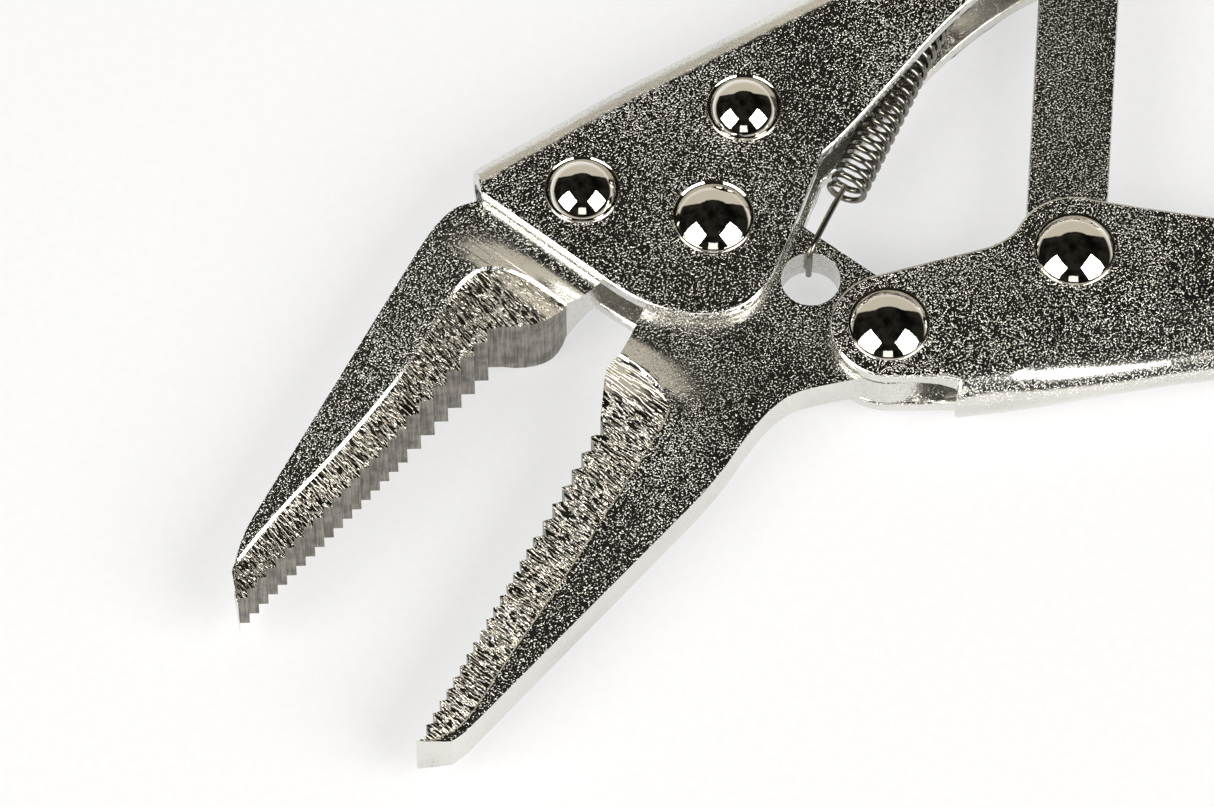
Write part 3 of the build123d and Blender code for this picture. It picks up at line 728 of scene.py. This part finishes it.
wound_now = wound.evaluated_get(bpy.context.evaluated_depsgraph_get())
spring_mesh = bpy.data.meshes.new_from_object(wound_now)
bpy.data.objects.remove(wound)
bm = bmesh.new()
bm.from_mesh(spring_mesh)
bmesh.ops.remove_doubles(bm, verts=bm.verts, dist=0.002 * MM)
bmesh.ops.recalc_face_normals(bm, faces=bm.faces)
bpy.data.meshes.remove(spring_mesh)
spring = finished(bm, "return_spring_coil", 60)
spring.data.materials.append(spring_wire)
tuple(spring_point(1.0 * MM, 0, 0))
tuple(spring_point(spring_length - 2.5 * MM, 0, 0))
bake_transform(spring)
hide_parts("return_spring")

# Adjusting screw: a rolled thread in the barrel with a knurled knob to turn it by, and a plain
# hardened tip that the toggle link bears on.
screw_nickel = pebbled_nickel("screw_nickel", 5200, 0.22, 0.14, (0.80, 0.77, 0.71, 1))
screw_low, screw_high = (Vector(corner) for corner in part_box("adjusting_screw"))
screw_axis = Vector((0, (screw_low.y + screw_high.y) / 2, (screw_low.z + screw_high.z) / 2))
THREAD_PITCH = 1.0 * MM
THREAD_STEPS = 32           # to a turn
THREAD_RADIUS, THREAD_ROOT = 2.98 * MM, 2.40 * MM
KNOB_FROM = 86.5 * MM
KNOB_RADIUS = (screw_high.z - screw_low.z) / 2
KNOB_RINGS = 26             # turned grooves and ridges along the knob
KNOB_ROWS = 120             # rows of the knurl round it
SHOULDER = 0.9 * MM         # the plain shoulders at its ends
SHOULDER_DROP = 1.0 * MM
RIM_DROP = 0.12 * MM
GROOVE_DEPTH = 0.22 * MM
KNURL_DEPTH = 0.24 * MM


def along_screw(bm, profile, segments):
    """Spins a profile of (x, radius) pairs about the screw's axis."""
    verts = [bm.verts.new((x, screw_axis.y, screw_axis.z + radius)) for x, radius in profile]
    edges = [bm.edges.new(pair) for pair in zip(verts, verts[1:])]
    bmesh.ops.spin(bm, geom=verts + edges, cent=screw_axis, axis=(1, 0, 0), angle=tau,
                   steps=segments, use_merge=True)


bm = bmesh.new()
thread_from = screw_low.x + 0.3 * MM
turns = int((KNOB_FROM - thread_from) / THREAD_PITCH)
rib = [bm.verts.new((thread_from + x, screw_axis.y, screw_axis.z + radius)) for x, radius in (
    (0, THREAD_ROOT), (0.08 * MM, THREAD_ROOT), (0.46 * MM, THREAD_RADIUS),
    (0.58 * MM, THREAD_RADIUS), (0.96 * MM, THREAD_ROOT), (THREAD_PITCH, THREAD_ROOT))]
rib_edges = [bm.edges.new(pair) for pair in zip(rib, rib[1:])]
bmesh.ops.spin(bm, geom=rib + rib_edges, cent=screw_axis, axis=(1, 0, 0), angle=tau * turns,
               dvec=(THREAD_PITCH / THREAD_STEPS, 0, 0), steps=THREAD_STEPS * turns,
               use_merge=False)
along_screw(bm, [(screw_low.x, 0), (screw_low.x, THREAD_ROOT - 0.25 * MM),
                 (screw_low.x + 0.25 * MM, THREAD_ROOT + 0.01 * MM),
                 (KNOB_FROM + 0.2 * MM, THREAD_ROOT + 0.01 * MM)], 48)
bmesh.ops.remove_doubles(bm, verts=bm.verts, dist=0.003 * MM)
knob = [(KNOB_FROM, 0.4 * MM), (KNOB_FROM, KNOB_RADIUS - SHOULDER_DROP),
        (KNOB_FROM + SHOULDER, KNOB_RADIUS - RIM_DROP)]
groove = (screw_high.x - KNOB_FROM - 2 * SHOULDER) / KNOB_RINGS
knob += [(KNOB_FROM + SHOULDER + groove * step,
          KNOB_RADIUS - (GROOVE_DEPTH if step % 2 else 0)) for step in range(1, KNOB_RINGS)]
knob += [(screw_high.x - SHOULDER, KNOB_RADIUS - RIM_DROP),
         (screw_high.x, KNOB_RADIUS - SHOULDER_DROP), (screw_high.x, KNOB_RADIUS - 2.6 * MM),
         (screw_high.x - 0.5 * MM, KNOB_RADIUS - 3.0 * MM), (screw_high.x - 0.5 * MM, 0)]
along_screw(bm, knob, KNOB_ROWS)
# knurl: every other row of the knob's rim is pulled in
for vert in bm.verts:
    arm = vert.co - screw_axis
    arm.x = 0
    if vert.co.x > KNOB_FROM + 0.8 * MM and arm.length > KNOB_RADIUS - 0.3 * MM:
        angle = arm.angle(Vector((0, 0, 1)))
        if round(angle / (tau / KNOB_ROWS)) % 2:
            vert.co -= arm.normalized() * KNURL_DEPTH
bmesh.ops.remove_doubles(bm, verts=bm.verts, dist=0.002 * MM)
bmesh.ops.recalc_face_normals(bm, faces=bm.faces)
screw = finished(bm, "adjusting_screw_and_knob", 30)
screw.data.materials.append(screw_nickel)
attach(screw, "adjusting_screw")
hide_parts("adjusting_screw")

# Screw tip and lever pin: two plain hardened pins. The tip is the screw's own end, and the pin is
# pressed flush into the lower handle's cheeks. Both are plated as the screw is.
for name in ("screw_tip", "release_lever_pin"):
    frame["nodes"][name].data.materials.clear()
    frame["nodes"][name].data.materials.append(screw_nickel)
